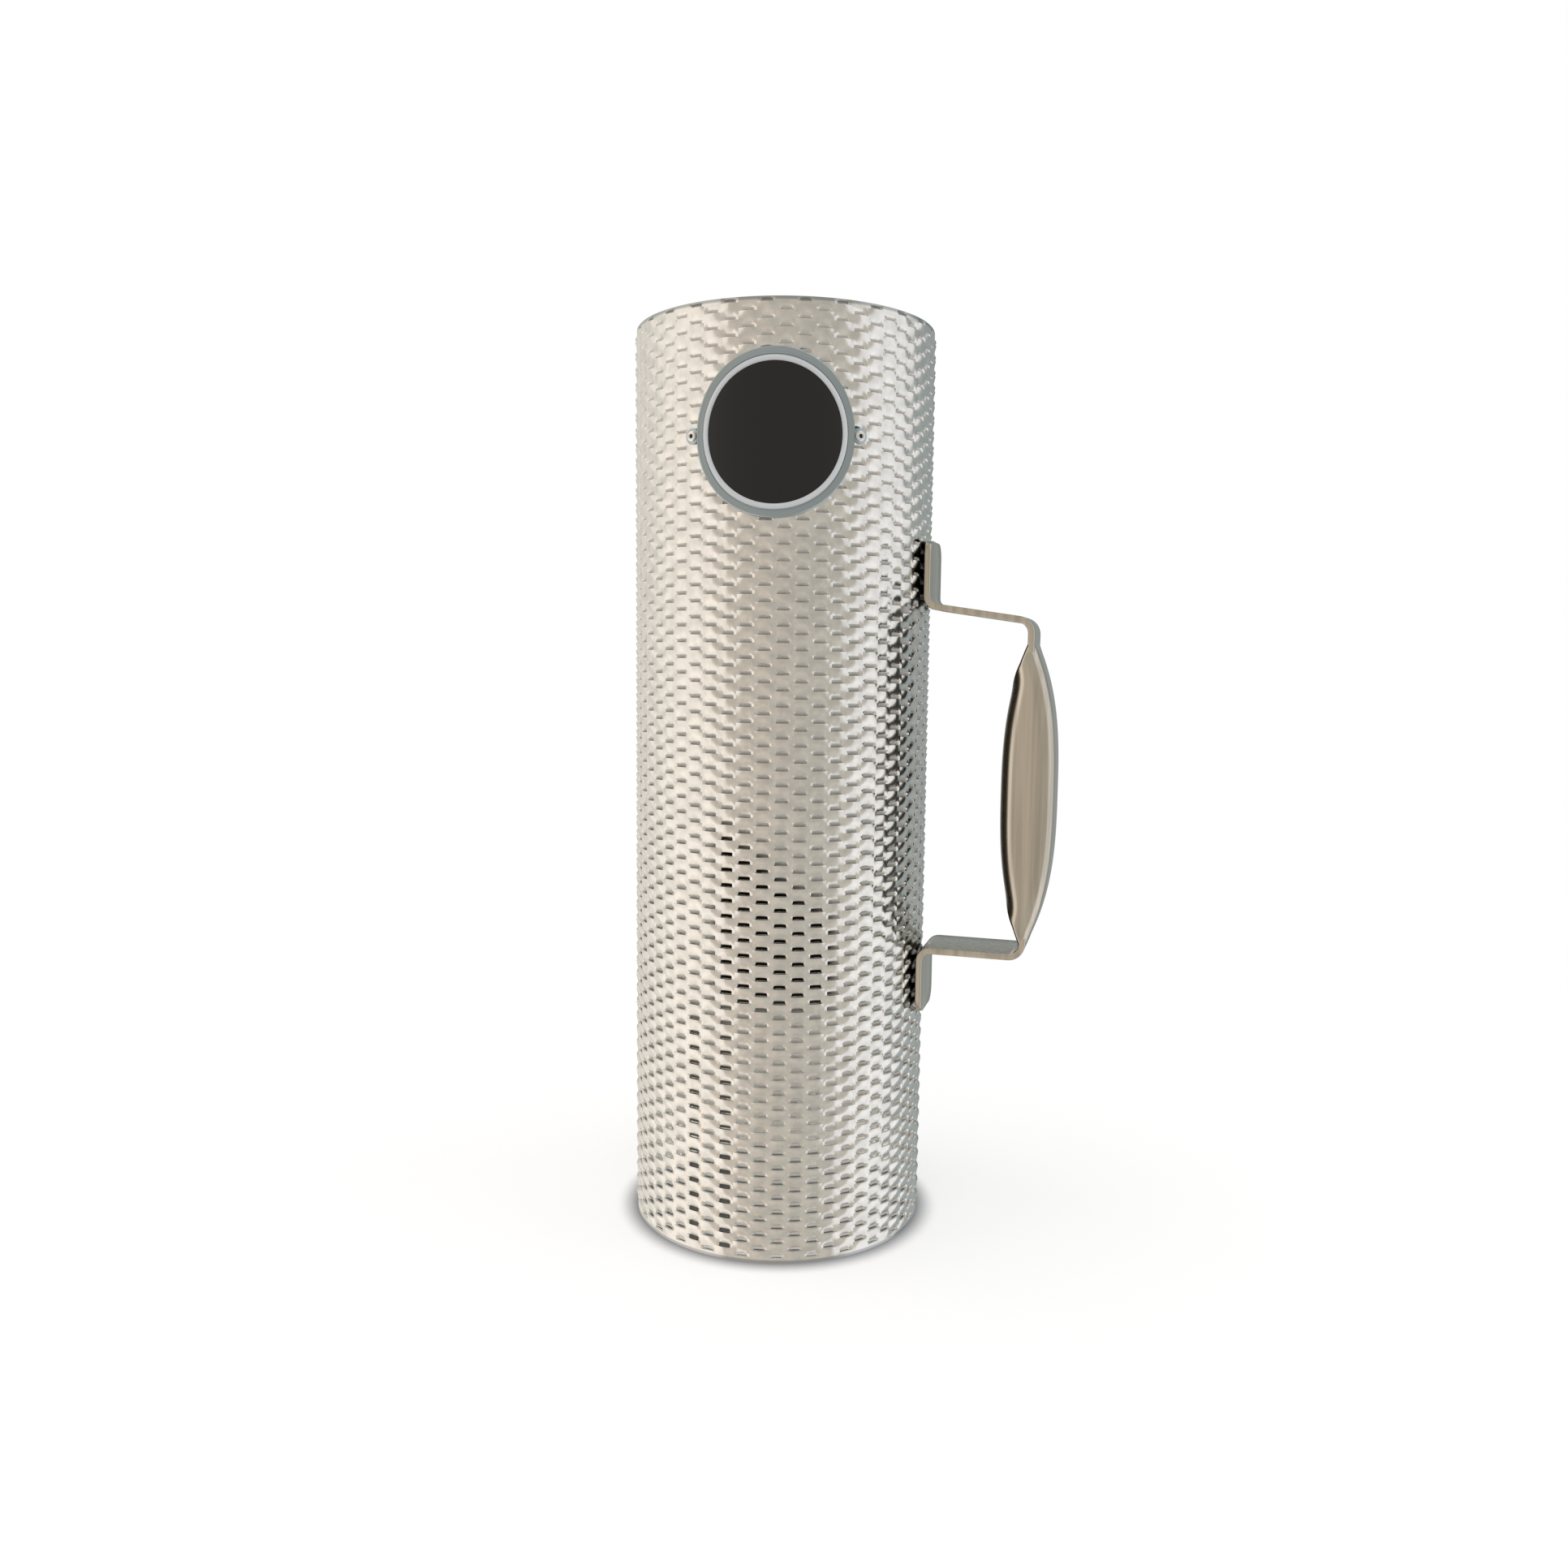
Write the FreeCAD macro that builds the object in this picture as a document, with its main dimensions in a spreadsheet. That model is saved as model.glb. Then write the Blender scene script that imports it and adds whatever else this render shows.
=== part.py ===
import FreeCAD, Part
import Sketcher
import math
import os

# A guira: a louvred sheet-metal tube that is scraped with a fork. The tube stands on its rim, with its axis
# on Z and its lower rim at Z = 0. The handle is on the +X side. Lengths are in millimetres and angles in
# degrees.

Vector = FreeCAD.Vector
UP = Vector(0, 0, 1)
ORIGIN = Vector(0, 0, 0)

# Driving dimensions

SIZES = [
    ("tube_radius", 51.0, "axis to the tips of the scales"),
    ("tube_height", 304.0, "rim to rim"),
    ("sheet_thickness", 0.8, "rolled sheet"),
    ("scale_height", 1.0, "how far a scale's lip stands out of the sheet"),
    ("column_pairs", 14, "pairs of columns of scales round the tube"),
    ("rows", 32, "scales in one column"),
    ("rim_margin", 1.6, "smooth band at each rim"),
    ("slit_width", 7.0, "open slit over a lip"),
    ("slit_height", 1.8, "open slit over a lip"),
    ("open_slits", 8, "slits cut right through, in each pair of columns"),
    ("seat_gap", 0.05, "between the scale tips and what is fixed on them"),
    ("strap_width", 22.0, "handle strip at the feet, arms and necks"),
    ("strap_thickness", 2.1, "handle strip"),
    ("neck_reach", 34.2, "scale tips to the inner face of the handle's necks"),
    ("grip_bulge", 7.7, "how far the grip's back stands out past the necks"),
    ("grip_depth", 17.4, "grip, back to lips, at its middle"),
    ("grip_length", 97.0, "grip, end to end"),
    ("grip_corner", 5.0, "outside corner radius of the grip's section"),
    ("grip_lip", 1.5, "flat of each rolled lip of the grip, past its corner"),
    ("lip_rise", 6.9, "how far the grip's free edges draw back at its ends"),
    ("handle_height", 76.4, "lower rim to the handle's lower end"),
    ("lower_foot", 21.8, "handle's lower end to the middle of the lower arm"),
    ("lower_neck", 5.0, "middle of the lower arm to the grip's lower end"),
    ("upper_neck", 8.1, "grip's upper end to the middle of the upper arm, at the neck"),
    ("upper_arm_fall", 5.1, "how far the upper arm falls on its way out"),
    ("upper_foot", 21.1, "middle of the upper arm, at the foot, to the handle's upper end"),
    ("foot_corner", 5.0, "corner radius at the end of each foot"),
    ("foot_bend", 2.5, "inside bend radius at the feet"),
    ("neck_bend", 3.5, "inside bend radius at the necks"),
    ("badge_drop", 40.3, "upper rim to the badge's centre"),
    ("badge_angle", -77.0, "from the handle, round the tube's axis"),
    ("badge_diameter", 51.0, "measured round the curve"),
    ("badge_thickness", 0.8, "plate"),
    ("badge_rim", 0.5, "how far the rim stands out of the plate"),
    ("rim_band", 1.2, "width of the badge's outer rim"),
    ("ring_band", 1.7, "width of the badge's inner ring"),
    ("ring_inset", 2.6, "outer edge of the badge to its inner ring"),
    ("rivet_gap", 0.15, "badge's edge to a rivet's head, measured round the curve"),
    ("ear_radius", 2.5, "tab round each rivet"),
    ("rivet_head_radius", 1.65, "rivet"),
    ("rivet_head_height", 0.5, "rivet"),
    ("rivet_shank_radius", 1.15, "rivet"),
    ("rivet_hole_radius", 0.6, "hollow rivet"),
    ("rivet_clearance", 0.05, "between a rivet's shank and its holes"),
]

doc = FreeCAD.newDocument("guira")
sheet = doc.addObject("Spreadsheet::Sheet", "sizes")
for line, (alias, value, meaning) in enumerate(SIZES, start=1):
    sheet.set("A%d" % line, alias)
    sheet.set("B%d" % line, str(value))
    sheet.set("C%d" % line, meaning)
    sheet.setAlias("B%d" % line, alias)
doc.recompute()


def size(alias):
    return float(sheet.get(alias))


def bind(thing, **expressions):
    for name, expression in expressions.items():
        thing.setExpression(name.replace("__", "."), expression)


# Heights and faces that several pieces share, as expressions on the sheet

SEAT = "(sizes.tube_radius + sizes.seat_gap)"
BADGE_FACE = "(%s + sizes.badge_thickness)" % SEAT
NECK = "(sizes.tube_radius + sizes.neck_reach)"
BADGE_HEIGHT = "(sizes.tube_height - sizes.badge_drop)"
RIVET_WAY = "(sizes.badge_diameter / 2 + sizes.rivet_gap + sizes.rivet_head_radius)"
RIVET_TURN = "(%s / %s * 180 / pi)" % (RIVET_WAY, BADGE_FACE)
LOWER_ARM = "(sizes.handle_height + sizes.lower_foot)"
GRIP_LOW = "(%s + sizes.lower_neck)" % LOWER_ARM
GRIP_HIGH = "(%s + sizes.grip_length)" % GRIP_LOW
GRIP_REACH = "(sizes.grip_length / 2)"
GRIP_MIDDLE = "(%s + %s)" % (GRIP_LOW, GRIP_REACH)
UPPER_ARM = "(%s + sizes.upper_neck + sizes.upper_arm_fall)" % GRIP_HIGH
HANDLE_TOP = "(%s + sizes.upper_foot)" % UPPER_ARM


# Scraper wall
#
# Each column of scales is one flat facet of the rolled sheet. A scale is a low half pyramid: its lip stands
# out at the middle of its upper edge, and it falls back to the sheet at both sides and at its foot. The ledge
# on top of the lip faces up, and neighbouring columns are half a scale out of step.

columns = 2 * int(size("column_pairs"))
rows = int(size("rows"))
column_turn = 2 * math.pi / columns
sheet_radius = size("tube_radius") - size("scale_height")
half_scale = (size("tube_height") - 2 * size("rim_margin")) / (2 * rows + 1)


def on_wall(turn, radius, height):
    return Vector(radius * math.cos(turn), radius * math.sin(turn), height)


def step_height(step):
    return size("rim_margin") + step * half_scale


def column_edge(edge, low, high):
    turn = (edge - 0.5) * column_turn
    return [on_wall(turn, sheet_radius, step_height(step)) for step in range(low, high + 1)]


def flat_face(corners):
    return Part.Face(Part.makePolygon(corners + corners[:1]))


def column_faces(column):
    # The outer faces of one column, from its lower rim to its upper rim
    left, right = (column - 0.5) * column_turn, (column + 0.5) * column_turn
    shift = column % 2
    last = 2 * rows + 1
    low_rim = [on_wall(turn, sheet_radius, 0) for turn in (left, right)]
    high_rim = [on_wall(turn, sheet_radius, size("tube_height")) for turn in (left, right)]
    low_edges = [column_edge(edge, 0, shift) for edge in (column, column + 1)]
    faces = [flat_face(low_rim + low_edges[1] + low_edges[0][::-1])]
    for row in range(rows):
        foot = 2 * row + shift
        lip = on_wall(column * column_turn, size("tube_radius"), step_height(foot + 2))
        left_edge = column_edge(column, foot, foot + 2)
        right_edge = column_edge(column + 1, foot, foot + 2)
        faces.append(flat_face([lip] + left_edge[::-1]))
        faces.append(flat_face([lip] + right_edge))
        faces.append(flat_face([lip, left_edge[0], right_edge[0]]))
        faces.append(flat_face([left_edge[2], lip, right_edge[2]]))
    top = 2 * rows + shift
    high_edges = [column_edge(edge, top, last) for edge in (column, column + 1)]
    faces.append(flat_face(high_edges[0] + high_rim + high_edges[1][::-1]))
    return faces


def pair_ends(height):
    # Outer corners of a pair of columns at one rim, then the inner ones, which keep the sheet's thickness
    inner = sheet_radius - size("sheet_thickness") / math.cos(column_turn / 2)
    turns = [(edge - 0.5) * column_turn for edge in (0, 1, 2)]
    return tuple([on_wall(turn, radius, height) for turn in turns] for radius in (sheet_radius, inner))


def column_pair():
    height = size("tube_height")
    last = 2 * rows + 1
    low_outer, low_inner = pair_ends(0)
    high_outer, high_inner = pair_ends(height)
    faces = column_faces(0) + column_faces(1)
    faces.append(flat_face(low_outer + low_inner[::-1]))
    faces.append(flat_face(high_outer + high_inner[::-1]))
    for n in (0, 1):
        faces.append(flat_face([low_inner[n], low_inner[n + 1], high_inner[n + 1], high_inner[n]]))
    for n, edge in ((0, 0), (2, 2)):
        outer = [low_outer[n]] + column_edge(edge, 0, last) + [high_outer[n]]
        faces.append(flat_face(outer + [high_inner[n], low_inner[n]]))
    solid = Part.Solid(Part.Shell(faces))
    if solid.Volume < 0:
        solid.reverse()
    return solid


def slit_cutters():
    # Boxes that open some of the slits, right over their ledges, evenly up the two columns in turn
    count = int(size("open_slits"))
    depth = size("sheet_thickness") + 2 * size("scale_height")
    cutters = []
    for n in range(count):
        column = n % 2
        step = 2 * int((n + 0.5) * rows / count) + column
        corner = Vector(sheet_radius - depth, -size("slit_width") / 2, step_height(step))
        box = Part.makeBox(2 * depth, size("slit_width"), size("slit_height"), corner)
        box.rotate(ORIGIN, UP, math.degrees(column * column_turn))
        cutters.append(box)
    return Part.makeCompound(cutters)


def rivet_holes():
    badge_face = size("tube_radius") + size("seat_gap") + size("badge_thickness")
    rivet_way = size("badge_diameter") / 2 + size("rivet_gap") + size("rivet_head_radius")
    rivet_turn = math.degrees(rivet_way / badge_face)
    middle = Vector(size("tube_radius") / 2, 0, size("tube_height") - size("badge_drop"))
    holes = []
    for side in (-1, 1):
        radius = size("rivet_shank_radius") + size("rivet_clearance")
        hole = Part.makeCylinder(radius, size("tube_radius"), middle, Vector(1, 0, 0))
        hole.rotate(ORIGIN, UP, size("badge_angle") + side * rivet_turn)
        holes.append(hole)
    return Part.makeCompound(holes)


pair = doc.addObject("Part::Feature", "column_pair")
pair.Shape = column_pair()
slits = doc.addObject("Part::Feature", "slit_cutters")
slits.Shape = slit_cutters()
open_pair = doc.addObject("Part::Cut", "open_column_pair")
open_pair.Base = pair
open_pair.Tool = slits
open_pair.Refine = True
doc.recompute()

holes = doc.addObject("Part::Feature", "rivet_holes")
holes.Shape = rivet_holes()
around = []
for n in range(columns // 2):
    piece = open_pair.Shape.Solids[0].copy()
    piece.rotate(ORIGIN, UP, math.degrees(2 * n * column_turn))
    if piece.BoundBox.intersect(holes.Shape.BoundBox):
        piece = piece.cut(holes.Shape).Solids[0]
    around.append(piece)
wall = doc.addObject("Part::Feature", "scraper_wall")
wall.Label = "scraper_wall"
wall.Shape = around[0].multiFuse(around[1:])


# Handle
#
# One stamped strip: a flat foot on the wall, an arm, a neck, the grip, and the same again below. The straps
# are bent strip. The grip is the same sheet, wider there, with its sides rolled round towards the wall.

CORNER_CHORDS = 4
SAME_PLACE = 0.001


def origin_plane(body, role):
    return [feature for feature in body.Origin.OriginFeatures if feature.Role == role][0]


def outline(body, name, role, corners):
    # A closed outline whose corners are each held by two expressions on the sheet
    sketch = body.newObject("Sketcher::SketchObject", name)
    sketch.AttachmentSupport = [(origin_plane(body, role), "")]
    sketch.MapMode = "FlatFace"
    points = [Vector(*[float(sketch.evalExpression(text)) for text in corner], 0) for corner in corners]
    count = len(points)
    for n in range(count):
        sketch.addGeometry(Part.LineSegment(points[n], points[(n + 1) % count]))
    for n in range(count):
        sketch.addConstraint(Sketcher.Constraint("Coincident", n, 2, (n + 1) % count, 1))
    for n, (across, up) in enumerate(corners):
        for kind, text, value in (("DistanceX", across, points[n].x), ("DistanceY", up, points[n].y)):
            index = sketch.addConstraint(Sketcher.Constraint(kind, -1, 1, n, 1, value))
            sketch.setExpression("Constraints[%d]" % index, text)
    return sketch


def edges_at(shape, places):
    # Names of the edges whose middle lies at one of the places
    names = []
    for n, edge in enumerate(shape.Edges):
        first, last = edge.ParameterRange
        middle = edge.valueAt((first + last) / 2)
        if any(middle.distanceToPoint(place) < SAME_PLACE for place in places):
            names.append("Edge%d" % (n + 1))
    return names


def rounded(body, name, edges, radius):
    base = body.Tip
    fillet = body.newObject("PartDesign::Fillet", name)
    fillet.Base = (base, edges)
    fillet.setExpression("Radius", radius)
    doc.recompute()
    return fillet


def strap(name, side, foot_end, arm_root, arm_fall, neck_end):
    # side is 1 where the foot stands above its arm and the neck hangs below it, and -1 the other way up
    body = doc.addObject("PartDesign::Body", name)
    face, outer = SEAT, "(%s + sizes.strap_thickness)" % SEAT
    neck, back = NECK, "(%s + sizes.strap_thickness)" % NECK
    slope = "(%s / (%s - %s))" % (arm_fall, back, outer)
    half = "(sizes.strap_thickness / 2 * sqrt(1 + %s * %s))" % (slope, slope)

    def arm(across, up):
        return "%s - %s * (%s - %s) + %d * %s" % (arm_root, slope, across, outer, up, half)

    sketch = outline(body, name + "_outline", "XZ_Plane", [
        (face, foot_end), (outer, foot_end), (outer, arm(outer, side)), (back, arm(back, side)),
        (back, neck_end), (neck, neck_end), (neck, arm(neck, -side)), (face, arm(face, -side))])
    pad = body.newObject("PartDesign::Pad", name + "_pad")
    pad.Profile = sketch
    pad.setExpression("Length", "sizes.strap_width")
    pad.Midplane = True
    doc.recompute()
    inside, outside = "sizes.%s", "sizes.%s + sizes.strap_thickness"
    bends = [(2, inside % "foot_bend"), (3, outside % "neck_bend"), (6, inside % "neck_bend"),
             (7, outside % "foot_bend")]
    corners = [line.StartPoint for line in sketch.Geometry]
    for n, radius in bends:
        middle = Vector(corners[n].x, 0, corners[n].y)
        rounded(body, name + "_bend_%d" % n, edges_at(body.Tip.Shape, [middle]), radius)
    across = (corners[0].x + corners[1].x) / 2
    ends = [Vector(across, y * size("strap_width") / 2, corners[0].y) for y in (-1, 1)]
    rounded(body, name + "_corners", edges_at(body.Tip.Shape, ends), "sizes.foot_corner")
    return body


def bow_radius(rise):
    # Radius of an arc as long as the grip that rises this much at its middle
    return "((%s * %s + %s * %s) / (2 * %s))" % (GRIP_REACH, GRIP_REACH, rise, rise, rise)


def corner_chords(across, up, radius, first, last):
    # Points of a rounded corner of the section, as chords of an arc about (across, up) between two angles
    points = []
    for n in range(CORNER_CHORDS + 1):
        angle = first + (last - first) * n / CORNER_CHORDS
        x = "%s + %s * cos(%g deg)" % (across, radius, angle)
        y = "%s + %s * sin(%g deg)" % (up, radius, angle)
        points.append((x, y))
    return points


def grip_channel():
    # The rolled section, swung about a level axis so that its back bulges
    body = doc.addObject("PartDesign::Body", "grip_channel")
    swing = bow_radius("sizes.grip_bulge")
    lips = "(%s - sizes.grip_depth)" % swing
    outer, inner = "sizes.grip_corner", "(sizes.grip_corner - sizes.strap_thickness)"
    flank = "(sizes.strap_width / 2 - sizes.grip_corner)"
    slot = "%s - sizes.grip_lip" % flank
    back, front = "(%s - sizes.grip_corner)" % swing, "(%s + sizes.grip_corner)" % lips
    side = corner_chords(back, flank, outer, 0, 90) + corner_chords(front, flank, outer, 90, 180)
    side += [(lips, slot), ("%s + sizes.strap_thickness" % lips, slot)]
    side += corner_chords(front, flank, inner, 180, 90) + corner_chords(back, flank, inner, 90, 0)
    sketch = outline(body, "grip_section", "XY_Plane", side + [(x, "-(%s)" % y) for x, y in side[::-1]])
    axis = "%s + sizes.strap_thickness + sizes.grip_bulge - %s" % (NECK, swing)
    bind(sketch, AttachmentOffset__Base__x=axis, AttachmentOffset__Base__z=GRIP_MIDDLE)
    swung = body.newObject("PartDesign::Revolution", "grip_swung")
    swung.Profile = sketch
    swung.ReferenceAxis = (sketch, ["V_Axis"])
    swung.Midplane = True
    swung.setExpression("Angle", "2 * asin(%s / %s)" % (GRIP_REACH, swing))
    return body


def free_edge_disc():
    # A level disc that draws the grip's free edges back towards its ends
    disc = doc.addObject("Part::Cylinder", "free_edge_disc")
    disc.Placement = FreeCAD.Placement(ORIGIN, FreeCAD.Rotation(Vector(1, 0, 0), 90))
    radius = bow_radius("sizes.lip_rise")
    lips = "%s + sizes.strap_thickness + sizes.grip_bulge - sizes.grip_depth" % NECK
    bind(disc, Radius=radius, Height="2 * sizes.strap_width", Placement__Base__x="%s + %s" % (lips, radius))
    bind(disc, Placement__Base__y="sizes.strap_width", Placement__Base__z=GRIP_MIDDLE)
    return disc


upper_end, lower_end = GRIP_HIGH + " - sizes.strap_thickness", GRIP_LOW + " + sizes.strap_thickness"
upper_strap = strap("upper_strap", 1, HANDLE_TOP, UPPER_ARM, "sizes.upper_arm_fall", upper_end)
lower_strap = strap("lower_strap", -1, "sizes.handle_height", LOWER_ARM, "0", lower_end)
channel = grip_channel()
edge_disc = free_edge_disc()
grip = doc.addObject("Part::MultiCommon", "grip")
grip.Shapes = [channel, edge_disc]
handle = doc.addObject("Part::MultiFuse", "handle")
handle.Label = "handle"
handle.Shapes = [upper_strap, grip, lower_strap]


# Badge plate
#
# A thin round plate bent to the tube, with a raised rim, a raised inner ring and a tab for a rivet at each
# side. It is made facing +X and then turned to its place.

def curved_sheet(name, inner, outer):
    height = "(2 * sizes.badge_diameter)"
    solids = []
    for suffix, radius in (("inner", inner), ("outer", outer)):
        cylinder = doc.addObject("Part::Cylinder", name + "_" + suffix)
        bottom = "%s - %s / 2" % (BADGE_HEIGHT, height)
        bind(cylinder, Radius=radius, Height=height, Placement__Base__z=bottom)
        solids.append(cylinder)
    cut = doc.addObject("Part::Cut", name)
    cut.Base, cut.Tool = solids[1], solids[0]
    return cut


def round_block(name, inset):
    # A block along X whose outline bends to a circle of the badge's diameter, less the inset
    radius = "(sizes.badge_diameter / 2 - %s)" % inset
    ellipse = doc.addObject("Part::Ellipse", name + "_outline")
    ellipse.Placement = FreeCAD.Placement(ORIGIN, FreeCAD.Rotation(Vector(0, 1, 0), -90))
    bent = "%s * sin(%s / %s * 1 rad)" % (BADGE_FACE, radius, BADGE_FACE)
    bind(ellipse, MajorRadius=radius, MinorRadius=bent, Placement__Base__z=BADGE_HEIGHT)
    block = doc.addObject("Part::Extrusion", name)
    block.Base = ellipse
    block.Dir = Vector(1, 0, 0)
    block.DirMode = "Custom"
    block.Solid = True
    bind(block, LengthFwd="sizes.tube_radius + sizes.badge_diameter")
    return block


def fused(name, shapes):
    fuse = doc.addObject("Part::MultiFuse", name)
    fuse.Shapes = shapes
    return fuse


def common(name, first, second):
    both = doc.addObject("Part::MultiCommon", name)
    both.Shapes = [first, second]
    return both


def band(name, inset, width):
    ring = doc.addObject("Part::Cut", name)
    ring.Base = round_block(name + "_outside", inset)
    ring.Tool = round_block(name + "_inside", "(%s + %s)" % (inset, width))
    return ring


def ear(name, side):
    cylinder = doc.addObject("Part::Cylinder", name)
    cylinder.Placement = FreeCAD.Placement(ORIGIN, FreeCAD.Rotation(Vector(0, 1, 0), 90))
    across = "%d * %s * sin(%s * 1 deg)" % (side, BADGE_FACE, RIVET_TURN)
    bind(cylinder, Radius="sizes.ear_radius", Height="sizes.tube_radius + sizes.badge_diameter")
    bind(cylinder, Placement__Base__y=across, Placement__Base__z=BADGE_HEIGHT)
    return cylinder


ears = [ear("left_ear", -1), ear("right_ear", 1)]
plate_blank = fused("plate_blank", [round_block("plate_disc", "0")] + ears)
plate = common("plate", curved_sheet("plate_sheet", SEAT, BADGE_FACE), plate_blank)
rim_ring = band("rim_band_ring", "0", "sizes.rim_band")
inner_ring = band("inner_band_ring", "sizes.ring_inset", "sizes.ring_band")
bands = fused("raised_bands", [rim_ring, inner_ring])
raised_face = "(%s + sizes.badge_rim)" % BADGE_FACE
raised = common("raised_rings", curved_sheet("raised_sheet", BADGE_FACE, raised_face), bands)
badge_blank = fused("badge_blank", [plate, raised])
badge_blank.Refine = True
bind(badge_blank, Placement__Rotation__Angle="sizes.badge_angle * 1 deg")
badge = doc.addObject("Part::Cut", "badge_plate")
badge.Label = "badge_plate"
badge.Base = badge_blank
badge.Tool = holes


# Badge rivets
#
# Hollow rivets, each with its head on a tab of the badge and its tail rolled over inside the tube.

def rivet(name, side):
    body = doc.addObject("PartDesign::Body", name)
    body.Label = name
    sheet_face = "((sizes.tube_radius - sizes.scale_height) * cos(90 / sizes.column_pairs * 1 deg)"
    tail = sheet_face + " - sizes.sheet_thickness - sizes.seat_gap)"
    tail_end = "(%s - sizes.rivet_head_height)" % tail
    head = "(%s + sizes.rivet_head_height)" % BADGE_FACE
    bore, shank = "sizes.rivet_hole_radius", "sizes.rivet_shank_radius"
    rim = "sizes.rivet_head_radius"
    sketch = outline(body, name + "_profile", "XY_Plane", [
        (tail_end, bore), (tail_end, rim), (tail, rim), (tail, shank),
        (BADGE_FACE, shank), (BADGE_FACE, rim), (head, rim), (head, bore)])
    turned = body.newObject("PartDesign::Revolution", name + "_turned")
    turned.Profile = sketch
    turned.ReferenceAxis = (sketch, ["H_Axis"])
    turned.Angle = 360
    turn = "(sizes.badge_angle + %d * %s) * 1 deg" % (side, RIVET_TURN)
    bind(body, Placement__Base__z=BADGE_HEIGHT, Placement__Rotation__Angle=turn)
    return body


rivets = [rivet("badge_rivet_left", -1), rivet("badge_rivet_right", 1)]


# Checks and files

doc.recompute()
for thing in doc.Objects:
    if "Invalid" in thing.State or "Error" in thing.State:
        raise RuntimeError("%s failed: %s" % (thing.Name, thing.State))
nodes = [wall, handle, badge] + rivets
for node in nodes:
    shape = node.Shape
    if shape.isNull() or not shape.isValid() or len(shape.Solids) != 1:
        raise RuntimeError("%s has no single valid solid" % node.Label)
os.makedirs("parts", exist_ok=True)
for node in nodes:
    shape = node.Shape
    shape.Solids[0].exportStep(os.path.join("parts", node.Label + ".step"))
    box = shape.BoundBox
    print("%-18s volume %9.1f mm3, %d faces" % (node.Label, shape.Volume, len(shape.Faces)))
    print("    x %.2f..%.2f y %.2f..%.2f" % (box.XMin, box.XMax, box.YMin, box.YMax), end=" ")
    print("z %.2f..%.2f" % (box.ZMin, box.ZMax))
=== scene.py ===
# %% [markdown]
# # A guira
#
# A guira is a metal scraper: a tube of thin sheet, pierced and raised into thousands of small scales, that
# a player scrapes with a fork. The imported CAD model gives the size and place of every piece. This lesson
# builds the pieces again at a finer scale, inside the same box: the scaled wall, the strip handle, the
# badge and its rivets.

# %% Load the frame
import math

import bmesh
import bpy
from mathutils import Matrix, Vector


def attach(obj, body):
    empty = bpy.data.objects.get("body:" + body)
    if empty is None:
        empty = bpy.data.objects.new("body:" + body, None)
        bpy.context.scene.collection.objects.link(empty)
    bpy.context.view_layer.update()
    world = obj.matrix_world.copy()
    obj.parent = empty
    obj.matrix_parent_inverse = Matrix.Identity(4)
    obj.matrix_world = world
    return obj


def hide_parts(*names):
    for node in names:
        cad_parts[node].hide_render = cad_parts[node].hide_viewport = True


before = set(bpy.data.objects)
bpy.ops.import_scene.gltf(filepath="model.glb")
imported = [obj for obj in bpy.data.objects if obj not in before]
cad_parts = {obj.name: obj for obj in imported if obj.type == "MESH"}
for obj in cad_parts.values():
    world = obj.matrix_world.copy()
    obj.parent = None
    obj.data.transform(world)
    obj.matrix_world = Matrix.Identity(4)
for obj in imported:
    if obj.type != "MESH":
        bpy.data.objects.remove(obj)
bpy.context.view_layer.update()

# %% [markdown]
# ## Shared sizes
#
# Lengths are written in millimetres and scaled to metres where they are used. The tube stands on the floor
# at the origin with its handle on the +X side. The camera looks from -Y, turned a little to the handle's
# side.

# %% Sizes that several pieces share

MM = 0.001
TUBE_RADIUS = 51.0
TUBE_HEIGHT = 304.0
LIP_RISE = 1.0
BASE_RADIUS = TUBE_RADIUS - LIP_RISE
CAMERA_TURN = math.radians(16.6)
scene = bpy.context.scene
print("tube %.0f mm wide and %.0f mm high" % (2 * TUBE_RADIUS, TUBE_HEIGHT))

# %% [markdown]
# ## Helpers
#
# Every piece ends as a plain mesh object with one finish, rides on the frame's one body and stands for a
# CAD node. Points are scaled to metres when the mesh is made.

# %% Mesh helpers


def mesh_object(name, points, faces, smooth_angle=None):
    mesh = bpy.data.meshes.new(name)
    mesh.from_pydata([tuple(value * MM for value in point) for point in points], [], faces)
    mesh.validate()
    obj = bpy.data.objects.new(name, mesh)
    scene.collection.objects.link(obj)
    if smooth_angle is not None:
        mesh.shade_smooth()
        mesh.set_sharp_from_angle(angle=math.radians(smooth_angle))
    return obj


def outward(obj):
    # All faces of a closed mesh turned to face out
    work = bmesh.new()
    work.from_mesh(obj.data)
    bmesh.ops.recalc_face_normals(work, faces=work.faces)
    work.to_mesh(obj.data)
    work.free()
    return obj


def piece(obj, node, material):
    obj.data.materials.clear()
    obj.data.materials.append(material)
    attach(obj, "root")
    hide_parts(node)
    obj.data.calc_loop_triangles()
    print(obj.name, len(obj.data.loop_triangles), "triangles")


print("mesh helpers are ready")

# %% [markdown]
# ## Finishes
#
# Nearly everything is metal. The sheet is satin steel: mirror-like enough to show the bright and the dim
# sides of the studio, and rough enough to blur them. A little noise in the bump keeps neighbouring scales
# from matching exactly. The tongues behind the slits are duller than the scales and painted paler: painted
# light for the bright inside of the tube seen through them. Where a slit looks into the dark of the tube,
# the tongues are painted dark instead: painted shade. A thin line along each rim and the handle's faces
# toward the tube carry painted shade too. An image could carry such places, but nodes that read the
# object's own coordinates stay sharp at any distance. The next cells hold small node helpers, then the
# places, then the finishes.

# %% Number nodes


def feed(tree, socket, value):
    # A socket takes another node's output, a colour or a number
    if isinstance(value, bpy.types.NodeSocket):
        tree.links.new(value, socket)
    elif isinstance(value, (tuple, list)):
        socket.default_value = (*value, 1)
    else:
        socket.default_value = value


def math_node(tree, operation, *values):
    node = tree.nodes.new("ShaderNodeMath")
    node.operation = operation
    for socket, value in zip(node.inputs, values):
        feed(tree, socket, value)
    return node.outputs[0]


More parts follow.
